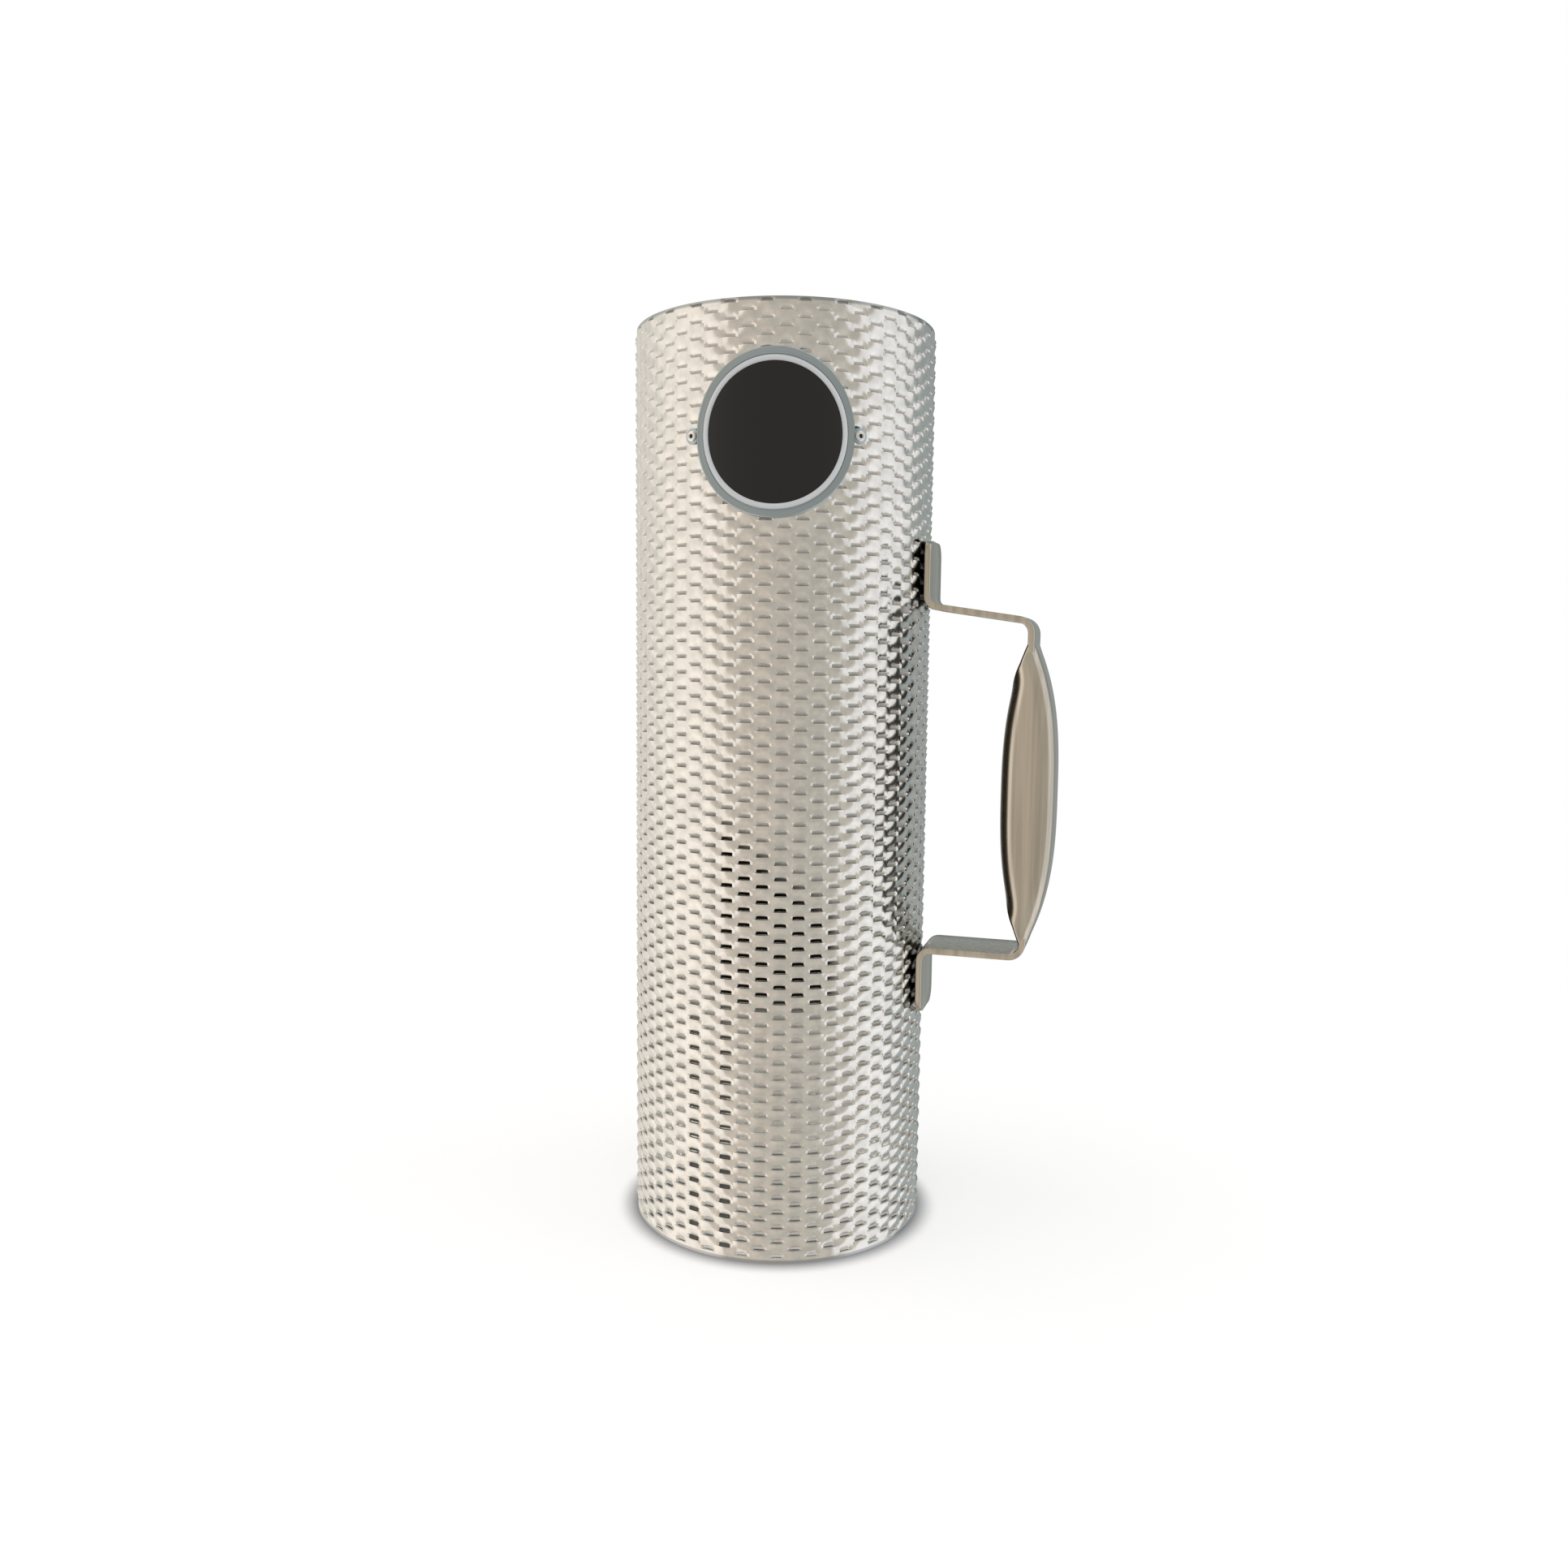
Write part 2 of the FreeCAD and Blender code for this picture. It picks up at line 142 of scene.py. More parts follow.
def product(tree, *values):
    total = values[0]
    for value in values[1:]:
        total = math_node(tree, "MULTIPLY", total, value)
    return total


def distance_from(tree, value, middle):
    return math_node(tree, "ABSOLUTE", math_node(tree, "SUBTRACT", value, middle))


def share_above(tree, value, low, high):
    # 0 below low, 1 above high, and smooth between them
    share = tree.nodes.new("ShaderNodeMapRange")
    share.interpolation_type = "SMOOTHSTEP"
    share.inputs["From Min"].default_value = low
    share.inputs["From Max"].default_value = high
    tree.links.new(value, share.inputs["Value"])
    return share.outputs["Result"]


def share_below(tree, value, low, high):
    # 1 below low, 0 above high, and smooth between them
    return math_node(tree, "SUBTRACT", 1.0, share_above(tree, value, low, high))


print("number nodes are ready")

# %% Colour, shader and coordinate nodes


def two_colors(tree, share, first, second):
    mix = tree.nodes.new("ShaderNodeMix")
    mix.data_type = "RGBA"
    for socket, value in ((mix.inputs["Factor"], share), (mix.inputs[6], first), (mix.inputs[7], second)):
        feed(tree, socket, value)
    return mix.outputs[2]


def two_shaders(tree, share, first, second):
    mix = tree.nodes.new("ShaderNodeMixShader")
    for socket, value in zip(mix.inputs, (share, first, second)):
        tree.links.new(value, socket)
    return mix.outputs[0]


def coordinates(tree, kind):
    return tree.nodes.new("ShaderNodeTexCoord").outputs[kind]


def parts_of(tree, vector):
    parts = tree.nodes.new("ShaderNodeSeparateXYZ")
    tree.links.new(vector, parts.inputs[0])
    return parts.outputs


def side_angle(tree, vector):
    # The angle round the tube's axis in radians: 0 toward the camera, negative to its left
    turned = tree.nodes.new("ShaderNodeVectorRotate")
    turned.rotation_type = "Z_AXIS"
    turned.inputs["Angle"].default_value = -CAMERA_TURN
    tree.links.new(vector, turned.inputs["Vector"])
    parts = parts_of(tree, turned.outputs[0])
    return math_node(tree, "ARCTAN2", parts["X"], product(tree, parts["Y"], -1.0))


print("colour, shader and coordinate nodes are ready")

# %% Plain and noisy finishes

NOISE_DETAIL = 3.0
NOISE_SPREAD = (0.3, 0.7)
NOISE_RELIEF = 0.1


def finish(name, color, roughness, metallic=1.0):
    material = bpy.data.materials.new(name)
    material.use_nodes = True
    inputs = material.node_tree.nodes["Principled BSDF"].inputs
    inputs["Base Color"].default_value = (*color, 1)
    inputs["Metallic"].default_value = metallic
    inputs["Roughness"].default_value = roughness
    return material


def noisy_metal(name, color, roughness, scale, stretch, bump, color_spread):
    # A metal whose bump and colour follow one noise pattern
    material = finish(name, color, roughness)
    tree = material.node_tree
    inputs = tree.nodes["Principled BSDF"].inputs
    stretched = tree.nodes.new("ShaderNodeMapping")
    stretched.inputs["Scale"].default_value = stretch
    noise = tree.nodes.new("ShaderNodeTexNoise")
    noise.inputs["Scale"].default_value = scale
    noise.inputs["Detail"].default_value = NOISE_DETAIL
    tree.links.new(coordinates(tree, "Object"), stretched.inputs["Vector"])
    tree.links.new(stretched.outputs["Vector"], noise.inputs["Vector"])
    relief = tree.nodes.new("ShaderNodeBump")
    relief.inputs["Strength"].default_value = bump
    relief.inputs["Distance"].default_value = NOISE_RELIEF * MM
    tree.links.new(noise.outputs["Fac"], relief.inputs["Height"])
    tree.links.new(relief.outputs["Normal"], inputs["Normal"])
    dimmer = [channel * (1 - color_spread) for channel in color]
    share = share_above(tree, noise.outputs["Fac"], *NOISE_SPREAD)
    tree.links.new(two_colors(tree, share, dimmer, color), inputs["Base Color"])
    return material


def recolored(material, share_maker, color):
    # The base colour goes to the given one where the share is 1
    tree = material.node_tree
    socket = tree.nodes["Principled BSDF"].inputs["Base Color"]
    tree.links.new(two_colors(tree, share_maker(tree), socket.links[0].from_socket, color), socket)


print("finish makers are ready")

# %% Sizes of the places with painted shade and painted light

# Sides are in degrees from the camera's side of the tube, heights in millimetres, and a pair is a fade
SLIT_EDGE = 0.2
SHADE_PATCH_MIDDLE = -2
SHADE_PATCH_SIDE = (19, 26)
SHADE_PATCH_LOW = (80, 88)
SHADE_PATCH_HIGH = (122, 136)
SHADE_PATCH_SLANT = 0.04
SHADE_COLUMNS = (-33.3, -19.9)
SHADE_COLUMN_SIDE = (2.4, 3.3)
SHADE_COLUMN_HIGH = (72, 90)
RIM_SHADE_LINE = (1.3, 0.6)
SHADE_FACING_TUBE = (0.35, 0.6)
print("dark patch from z %d to %d mm" % (SHADE_PATCH_LOW[0], SHADE_PATCH_HIGH[1]))

# %% Places on the wall and the handle


def radians(angles):
    return [math.radians(angle) for angle in angles]


def metres(lengths):
    return [length * MM for length in lengths]


def in_slits(tree):
    # 1 on the tongues, which lie nearer to the tube's axis than the rest of the outer skin
    parts = parts_of(tree, coordinates(tree, "Object"))
    squares = [product(tree, parts[axis], parts[axis]) for axis in "XY"]
    radius = math_node(tree, "SQRT", math_node(tree, "ADD", *squares))
    return share_below(tree, radius, *metres((BASE_RADIUS - SLIT_EDGE, BASE_RADIUS)))


def in_painted_shade_patch(tree):
    # 1 on the tongues of the patch painted near black as painted shade, where the slits look into the dark of
    # the tube; its upper end slants down to the right
    place = coordinates(tree, "Object")
    height, side = parts_of(tree, place)["Z"], side_angle(tree, place)
    slanted = math_node(tree, "MULTIPLY_ADD", side, SHADE_PATCH_SLANT, height)
    off_middle = distance_from(tree, side, math.radians(SHADE_PATCH_MIDDLE))
    wide = share_below(tree, off_middle, *radians(SHADE_PATCH_SIDE))
    low = share_above(tree, height, *metres(SHADE_PATCH_LOW))
    high = share_below(tree, slanted, *metres(SHADE_PATCH_HIGH))
    return product(tree, wide, low, high, in_slits(tree))


def in_painted_shade_columns(tree):
    # 1 on the tongues of two columns to the left, below that patch, painted darker as painted shade
    place = coordinates(tree, "Object")
    height, side = parts_of(tree, place)["Z"], side_angle(tree, place)
    columns = [share_below(tree, distance_from(tree, side, math.radians(middle)), *radians(SHADE_COLUMN_SIDE))
               for middle in SHADE_COLUMNS]
    low = share_below(tree, height, *metres(SHADE_COLUMN_HIGH))
    return product(tree, low, math_node(tree, "ADD", *columns), in_slits(tree))


def at_painted_rim_shade(tree):
    # 1 on the plain sheet right at the two rims, painted as a darker grey line of painted shade
    height = parts_of(tree, coordinates(tree, "Object"))["Z"]
    middle = TUBE_HEIGHT / 2
    lines = metres([middle - line for line in RIM_SHADE_LINE])
    return share_above(tree, distance_from(tree, height, middle * MM), *lines)


def painted_shade_toward_tube(tree):
    # 1 on faces of the handle that look at the tube, painted near black as painted shade and painted dark
    # reflection
    normal = parts_of(tree, coordinates(tree, "Normal"))
    return share_above(tree, product(tree, normal["X"], -1.0), *SHADE_FACING_TUBE)


print("dark columns at", SHADE_COLUMNS, "degrees")

# %% The finishes

WALL_ROUGHNESS = 0.2
TONGUE_ROUGHNESS = 0.8
wall_steel = noisy_metal("wall_steel", (0.88, 0.87, 0.845), WALL_ROUGHNESS, 260.0, (1, 1, 1), 0.3, 0.14)
# Painted light: the tongues are painted paler, for the bright inside of the tube seen through the slits
recolored(wall_steel, in_slits, (0.97, 0.97, 0.96))
# Painted shade: the tongues of one patch are painted near black, for the dark inside of the tube
recolored(wall_steel, in_painted_shade_patch, (0.02, 0.018, 0.015))
# Painted shade: the tongues of two columns are painted dark grey
recolored(wall_steel, in_painted_shade_columns, (0.26, 0.26, 0.235))
# Painted shade: a darker grey line along each rim
recolored(wall_steel, at_painted_rim_shade, (0.45, 0.47, 0.48))
wall_tree = wall_steel.node_tree
rougher = math_node(wall_tree, "MULTIPLY_ADD", in_slits(wall_tree), TONGUE_ROUGHNESS - WALL_ROUGHNESS,
                    WALL_ROUGHNESS)
wall_tree.links.new(rougher, wall_tree.nodes["Principled BSDF"].inputs["Roughness"])
inner_steel = finish("inner_steel", (0.92, 0.91, 0.88), 0.4)
# The handle's colour noise is stretched into fine streaks along its length: painted reflection of the room;
# the bump from the same noise is relief
handle_steel = noisy_metal("handle_steel", (0.66, 0.61, 0.53), 0.2, 600.0, (1, 1, 0.03), 0.12, 0.22)
# Painted shade: the handle's faces toward the tube are painted near black
recolored(handle_steel, painted_shade_toward_tube, (0.06, 0.05, 0.035))
print("finishes:", [material.name for material in (wall_steel, inner_steel, handle_steel)])

# %% [markdown]
# ## The scaled wall: one tile
#
# Each scale is a louvre. The sheet is cut along a short line, the metal below the cut is pressed out into a
# lip, and the metal above it is pressed in like a tongue, so a gap stays open between the two. Neighbouring
# columns are half a scale out of step. A displaced cylinder could give the relief but not the open slits,
# so one tile is modelled flat: a grid for the outside and a coarser grid for the inside.

# %% Sizes of the wall

SHEET = 0.7
COLUMNS = 54
ROWS = 60
RIM = 1.6
TOP = TUBE_HEIGHT - RIM
PITCH = (TUBE_HEIGHT - 2 * RIM) / (ROWS + 0.5)
COLUMN_WIDTH = 2 * math.pi * BASE_RADIUS / COLUMNS
BODY_RISE = 0.30
VALLEY = -0.10
BOW_POWER = 1.2
FALL_POWER = 1.4
LIP_ROLL = 0.07
ROLL_DROP = 0.25
BEND = 0.77
BEND_HALF = 0.03
TONGUE_DEPTH = 0.85
TONGUE_HALF = 0.30
SLIT_HALF = 0.34
print("pitch %.3f mm, column %.3f mm" % (PITCH, COLUMN_WIDTH))

# %% Height of the scale


def rise_at(across, down):
    # How far the sheet stands out: across is -0.5 to 0.5 of the column, down is 0 at the lip and 1 a scale
    # lower. Along the column's edges the height is constant, so neighbouring columns meet without a step.
    side = min(1.0, abs(across) / 0.5)
    bow = (1 - side ** 2) ** BOW_POWER
    along = VALLEY + (LIP_RISE - VALLEY) * (1 - down) ** FALL_POWER
    roll = ROLL_DROP * max(0.0, 1 - down / LIP_ROLL)
    in_tongue = abs(across) <= TONGUE_HALF and down > BEND
    tongue = math.sqrt((down - BEND) / (1 - BEND)) if in_tongue else 0.0
    return BODY_RISE + (along - roll - BODY_RISE) * bow - TONGUE_DEPTH * tongue


ACROSS = [-0.5, -SLIT_HALF, -TONGUE_HALF, -0.15, 0.0, 0.15, TONGUE_HALF, SLIT_HALF, 0.5]
INNER_ACROSS = [-0.5, -SLIT_HALF, -TONGUE_HALF, 0.0, TONGUE_HALF, SLIT_HALF, 0.5]
DOWN = [0.0, LIP_ROLL, 0.4, BEND - BEND_HALF, BEND + BEND_HALF, 1.0]
INNER_DOWN = [0.0, 0.4, BEND, 1.0]
print("heights down the middle:", [round(rise_at(0, down), 2) for down in DOWN])

# %% Parts of a tile


def scale_rows(shares, first=0.0):
    # Rows of one scale as (height, share of the way down), where the first share lies at height 0
    return [((first - share) * PITCH, share) for share in shares]


def tile_point(across, down, height, depth, shift):
    rise = BODY_RISE if down is None else rise_at(across, down)
    return ((across + shift) * COLUMN_WIDTH, rise - depth, height)


def skin(points, faces, columns, rows, depth, shift=0.0):
    # One skin through rows of (height, share down); a share of None is plain sheet
    start = len(points)
    for height, down in rows:
        points += [tile_point(across, down, height, depth, shift) for across in columns]
    wide = len(columns)
    for j in range(len(rows) - 1):
        for i in range(wide - 1):
            a = start + j * wide + i
            quad = (a, a + wide, a + wide + 1, a + 1)
            faces.append(quad if depth == 0 else quad[::-1])


def ledges(points, faces, height, above, below, depth, shift=0.0):
    # The level steps left and right of a slit, from the sheet above it to the sheet below it
    for sign in (-1, 1):
        start = len(points)
        for across, down in ((0.5, above), (0.5, below), (SLIT_HALF, below), (SLIT_HALF, above)):
            points.append(tile_point(sign * across, down, height, depth, shift))
        quad = (start, start + 1, start + 2, start + 3)
        faces.append(quad if (sign > 0) == (depth == 0) else quad[::-1])


def cut_edge(points, faces, columns, height, down, shift=0.0):
    # The sheet's thickness along a cut edge
    start = len(points)
    for across in columns:
        points += [tile_point(across, down, height, depth, shift) for depth in (0, SHEET)]
    for k in range(len(columns) - 1):
        a = start + 2 * k
        faces.append((a, a + 2, a + 3, a + 1))


def outer_tile():
    points, faces = [], []
    skin(points, faces, ACROSS, scale_rows(DOWN), 0)
    ledges(points, faces, 0.0, 1.0, 0.0, 0)
    cut_edge(points, faces, ACROSS[1:-1], 0.0, 0.0)
    return mesh_object("outer_tile", points, faces)


def inner_tile():
    # This tile also closes the lower edge of the tongue that hangs over its slit
    points, faces = [], []
    skin(points, faces, INNER_ACROSS, scale_rows(INNER_DOWN), SHEET)
    ledges(points, faces, 0.0, 1.0, 0.0, SHEET)
    cut_edge(points, faces, INNER_ACROSS[1:-1][::-1], 0.0, 1.0)
    return mesh_object("inner_tile", points, faces)


outer_scale, inner_scale = outer_tile(), inner_tile()
print("faces of one scale:", [len(scale.data.polygons) for scale in (outer_scale, inner_scale)])

# %% [markdown]
# ## The scaled wall: the tile repeated
#
# Geometry Nodes is the natural tool for thousands of equal scales. A node group makes one point per scale
# on a flat staggered grid, puts the tile on each point, and then wraps the flat sheet round the tube's
# axis. The counts and sizes are named inputs, so the same group makes both skins of the sheet.

# %% The node group that repeats and wraps a tile

GROUP_INPUTS = {"Tile": "Object", "Columns": "Int", "First": "Int", "Made": "Int", "Rows": "Int",
                "Column Width": "Float", "Pitch": "Float", "Top": "Float", "Radius": "Float",
                "Material": "Material"}
STAGGER = 0.5
WELD = 0.02


def wrap_group():
    tree = bpy.data.node_groups.new("staggered_wrap", "GeometryNodeTree")
    face = tree.interface
    face.new_socket("Geometry", in_out="INPUT", socket_type="NodeSocketGeometry")
    for name, kind in GROUP_INPUTS.items():
        face.new_socket(name, in_out="INPUT", socket_type="NodeSocket" + kind)
    face.new_socket("Geometry", in_out="OUTPUT", socket_type="NodeSocketGeometry")
    given = tree.nodes.new("NodeGroupInput").outputs
    index = tree.nodes.new("GeometryNodeInputIndex").outputs[0]
    column = math_node(tree, "ADD", given["First"], math_node(tree, "MODULO", index, given["Made"]))
    row = math_node(tree, "FLOOR", math_node(tree, "DIVIDE", index, given["Made"]))
    odd = math_node(tree, "MODULO", column, 2.0)
    steps = math_node(tree, "ADD", row, product(tree, odd, STAGGER))
    flat = tree.nodes.new("ShaderNodeCombineXYZ")
    tree.links.new(product(tree, column, given["Column Width"]), flat.inputs["X"])
    fall = product(tree, steps, given["Pitch"])
    tree.links.new(math_node(tree, "SUBTRACT", given["Top"], fall), flat.inputs["Z"])
    points = tree.nodes.new("GeometryNodePoints")
    tree.links.new(product(tree, given["Made"], given["Rows"]), points.inputs["Count"])
    tree.links.new(flat.outputs["Vector"], points.inputs["Position"])
    shape = tree.nodes.new("GeometryNodeObjectInfo")
    tree.links.new(given["Tile"], shape.inputs["Object"])
    copies = tree.nodes.new("GeometryNodeInstanceOnPoints")
    tree.links.new(points.outputs[0], copies.inputs["Points"])
    tree.links.new(shape.outputs["Geometry"], copies.inputs["Instance"])
    real = tree.nodes.new("GeometryNodeRealizeInstances")
    tree.links.new(copies.outputs[0], real.inputs[0])
    here = parts_of(tree, tree.nodes.new("GeometryNodeInputPosition").outputs[0])
    around = product(tree, given["Column Width"], given["Columns"])
    turn = product(tree, math_node(tree, "DIVIDE", here["X"], around), 2 * math.pi)
    out = math_node(tree, "ADD", given["Radius"], here["Y"])
    bent = tree.nodes.new("ShaderNodeCombineXYZ")
    tree.links.new(product(tree, out, math_node(tree, "COSINE", turn)), bent.inputs["X"])
    tree.links.new(product(tree, out, math_node(tree, "SINE", turn)), bent.inputs["Y"])
    tree.links.new(here["Z"], bent.inputs["Z"])
    wrap = tree.nodes.new("GeometryNodeSetPosition")
    tree.links.new(real.outputs[0], wrap.inputs["Geometry"])
    tree.links.new(bent.outputs["Vector"], wrap.inputs["Position"])
    weld = tree.nodes.new("GeometryNodeMergeByDistance")
    weld.inputs["Distance"].default_value = WELD * MM
    tree.links.new(wrap.outputs[0], weld.inputs["Geometry"])
    paint = tree.nodes.new("GeometryNodeSetMaterial")
    tree.links.new(weld.outputs[0], paint.inputs["Geometry"])
    tree.links.new(given["Material"], paint.inputs["Material"])
    tree.links.new(paint.outputs[0], tree.nodes.new("NodeGroupOutput").inputs[0])
    return tree


wrap = wrap_group()
print("inputs:", [item.name for item in wrap.interface.items_tree if item.in_out == "INPUT"])

# %% Run the group and keep its mesh


def wrapped(name, tile_object, first=0, made=COLUMNS, columns=COLUMNS, rows=ROWS, pitch=PITCH, top=TOP):
    # With fewer columns in the full turn they stand as much further apart
    host = mesh_object(name + "_host", [(0, 0, 0)], [])
    modifier = host.modifiers.new("wrap", "NODES")
    modifier.node_group = wrap
    values = {"Tile": tile_object, "Columns": columns, "First": first, "Made": made, "Rows": rows,
              "Column Width": COLUMN_WIDTH * COLUMNS / columns * MM, "Pitch": pitch * MM, "Top": top * MM,
              "Radius": BASE_RADIUS * MM, "Material": wall_steel}
    for item in wrap.interface.items_tree:
        if item.in_out == "INPUT" and item.name in values:
            modifier[item.identifier] = values[item.name]
    host.update_tag()
    depsgraph = bpy.context.evaluated_depsgraph_get()
    mesh = bpy.data.meshes.new_from_object(host.evaluated_get(depsgraph), depsgraph=depsgraph)
    bpy.data.objects.remove(host)
    obj = bpy.data.objects.new(name, mesh)
    mesh.name = name
    scene.collection.objects.link(obj)
    return obj


half = COLUMNS // 2
skins = [wrapped("wall_skin_%d" % first, outer_scale, first=first, made=half) for first in (0, half)]
wall_lining = wrapped("wall_lining", inner_scale)
print("skin points", len(skins[0].data.vertices), "lining points", len(wall_lining.data.vertices))

# %% [markdown]
# ## The rims
#
# The staggered columns leave a toothed edge above and below: every second column starts half a scale lower.
# The cut sheet shows part of a scale there, then a narrow plain rim. A longer wall could be cut to length
# with a Boolean, but tiles keep the mesh clean: four kinds of rim tile fill these places, and the same node
# group puts them round the tube.

# %% Rim tiles


def rim_tile(name, rows, shift, lip, ledge):
    # Both skins of a rim tile and its cut edges; ledge holds the share of the sheet below its slit, if any
    points, faces = [], []
    for depth in (0, SHEET):
        skin(points, faces, ACROSS, rows, depth, shift)
        if ledge is not None:
            ledges(points, faces, rows[0][0], 1.0, ledge[0], depth, shift)
    if lip:
        cut_edge(points, faces, ACROSS[1:-1], rows[0][0], rows[0][1], shift)
    plain = [height for height, down in rows if down is None]
    if plain[0] == TUBE_HEIGHT:
        cut_edge(points, faces, ACROSS, TUBE_HEIGHT, None, shift)
    else:
        cut_edge(points, faces, ACROSS[::-1], 0.0, None, shift)
    return mesh_object(name, points, faces)


def lifted(rows, height):
    return [(z + height, down) for z, down in rows]


bend = DOWN[3:]
last_lip = TOP - ROWS * PITCH
upper_edge, lower_edge = [(TUBE_HEIGHT, None)], [(0.0, None)]
rim_rows = {
    "top_even": (upper_edge + lifted(scale_rows(bend, 1.0), TOP), 0, False, None),
    "top_odd": (upper_edge + lifted(scale_rows([0.5] + bend, 0.5), TOP), 1, False, None),
    "bottom_even": (lifted(scale_rows([0.0, LIP_ROLL, 0.5]), last_lip) + lower_edge, 0, True, (0.0,)),
    "bottom_odd": ([(RIM, None)] + lower_edge, 1, True, (None,)),
}
rims = []
for name, (rows, shift, lip, ledge) in rim_rows.items():
    tile_object = rim_tile(name, rows, shift, lip, ledge)
    rims.append(wrapped(name + "_rim", tile_object, made=half, columns=half, rows=1, pitch=0.0, top=0.0))
    bpy.data.objects.remove(tile_object)
print("rims:", [len(rim.data.polygons) for rim in rims], "faces")

# %% Join the sheet

JOIN_GAP = 0.01
WALL_SHARP = 55


def joined(name, parts, smooth_angle):
    # Several meshes as one object, with points closer than the gap made one
    work = bmesh.new()
    for part in parts:
        work.from_mesh(part.data)
    mesh = bpy.data.meshes.new(name)
    bmesh.ops.remove_doubles(work, verts=work.verts, dist=JOIN_GAP * MM)
    work.to_mesh(mesh)
    work.free()
    for part in parts:
        bpy.data.objects.remove(part)
    mesh.shade_smooth()
    mesh.set_sharp_from_angle(angle=math.radians(smooth_angle))
    obj = bpy.data.objects.new(name, mesh)
    scene.collection.objects.link(obj)
    return obj


for leftover in (outer_scale, inner_scale):
    bpy.data.objects.remove(leftover)
for name, part in zip(("scraper_wall_back", "scraper_wall_front"), skins):
    piece(joined(name, [part], WALL_SHARP), "scraper_wall", wall_steel)
piece(joined("scraper_wall_rims", rims, WALL_SHARP), "scraper_wall", wall_steel)
piece(joined("scraper_wall_inside", [wall_lining], WALL_SHARP), "scraper_wall", inner_steel)

# %% [markdown]
# ## The handle
#
# The handle is one stamped strip. Its side view is drawn as a centreline with rounded bends. A curve with a
# bevel could carry the strip, but its feet end in rounded corners, so a ring of points is placed at each
# step of the line and the rings are skinned.

# %% The strip's centreline

STRIP = 2.1
STRIP_HALF = 11.0
STRIP_EDGE = 0.45
SEAT_GAP = 0.05
NECK_REACH = 34.2
SEAT = TUBE_RADIUS + SEAT_GAP
FOOT = SEAT + STRIP / 2
NECK = TUBE_RADIUS + NECK_REACH + STRIP / 2


def bent_line(corners, steps=12):
    # A polyline with each inner corner turned into an arc; corners are (x, z, bend radius)
    line = []
    for n, (x, z, radius) in enumerate(corners):
        here = Vector((x, z))
        if radius == 0:
            line.append(here)
            continue
        before = (Vector(corners[n - 1][:2]) - here).normalized()
        after = (Vector(corners[n + 1][:2]) - here).normalized()
        half = math.acos(max(-1, min(1, before.dot(after)))) / 2
        reach = radius / math.tan(half)
        middle = here + (before + after).normalized() * (radius / math.sin(half))
        first = here + before * reach - middle
        last = here + after * reach - middle
        swing = math.atan2(first.x * last.y - first.y * last.x, first.dot(last))
        for k in range(steps + 1):
            angle = swing * k / steps
            turned = Vector((first.x * math.cos(angle) - first.y * math.sin(angle),
                             first.x * math.sin(angle) + first.y * math.cos(angle)))
            line.append(middle + turned)
    return line


print("neck %.2f mm from the axis" % NECK)

# %% The strip's cross-section

FOOT_CORNER = 5.0
FOOT_SLICES = 14
BLUNT = 0.05
HANDLE_SHARP = 40


def loft(name, rings):
    # A skin through rings that all have the same number of points, with a cap at each end
    count = len(rings[0])
    points = [point for ring in rings for point in ring]
    faces = []
    for n in range(len(rings) - 1):
        for k in range(count):
            a, b = n * count + k, n * count + (k + 1) % count
            faces.append((a, b, b + count, a + count))
    faces.append(tuple(range(count))[::-1])
    faces.append(tuple(range((len(rings) - 1) * count, len(rings) * count)))
    return outward(mesh_object(name, points, faces, HANDLE_SHARP))


def strip_ring(point, along, half_width):
    # The strip's cross-section at one point of its line: a flat bar with rounded edges
    out = Vector((along.y, -along.x))
    ring = []
    for sy, sn in ((1, 1), (-1, 1), (-1, -1), (1, -1)):
        for angle in (0, 30, 60, 90):
            turn = math.radians(angle if sy * sn > 0 else 90 - angle)
            y = sy * (half_width - STRIP_EDGE + STRIP_EDGE * math.cos(turn))
            n = sn * (STRIP / 2 - STRIP_EDGE + STRIP_EDGE * math.sin(turn))
            ring.append((point.x + out.x * n, y, point.y + out.y * n))
    return ring


def foot_half(distance):
    # Half width of a foot near its rounded end
    inward = max(0.0, FOOT_CORNER - distance)
    return STRIP_HALF - FOOT_CORNER + math.sqrt(max(0.0, FOOT_CORNER ** 2 - inward ** 2))


def strip(name, corners):
    # The foot's first stretch is sliced finely, most finely at its rounded end
    line = bent_line(corners)
    end, bend_start = line[:2]
    finer = [end + (bend_start - end) * (k / FOOT_SLICES) ** 2 for k in range(FOOT_SLICES)] + line[1:]
    rings = []
    for n, point in enumerate(finer):
        along = (finer[min(n + 1, len(finer) - 1)] - finer[max(n - 1, 0)]).normalized()
        rings.append(strip_ring(point, along, foot_half((point - end).length + BLUNT)))
    return loft(name, rings)


print("foot's half width at its end: %.2f mm" % foot_half(BLUNT))

# %% The two straps

HANDLE_LOW, LOWER_ARM = 76.4, 98.2
HANDLE_HIGH, UPPER_ARM_FOOT, UPPER_ARM_NECK = 234.5, 213.4, 208.4
UPPER_NECK_END, LOWER_NECK_END = 198.5, 104.5
FOOT_BEND, NECK_BEND = 3.5, 4.6
upper_strap = strip("upper_strap", [(FOOT, HANDLE_HIGH, 0), (FOOT, UPPER_ARM_FOOT, FOOT_BEND),
                                    (NECK, UPPER_ARM_NECK, NECK_BEND), (NECK, UPPER_NECK_END, 0)])
lower_strap = strip("lower_strap", [(FOOT, HANDLE_LOW, 0), (FOOT, LOWER_ARM, FOOT_BEND),
                                    (NECK, LOWER_ARM, NECK_BEND), (NECK, LOWER_NECK_END, 0)])
print("straps:", len(upper_strap.data.vertices), len(lower_strap.data.vertices), "points")

# %% [markdown]
# ## The grip
#
# The grip swells out of the strip: the sides of the sheet are rolled round towards the tube, and the free
# edges curve back to the necks. The section changes all the way along, so no single profile can be swept.
# Each ring is worked out from its place along the grip, and the rings are skinned like the straps.

# %% Sizes of the grip

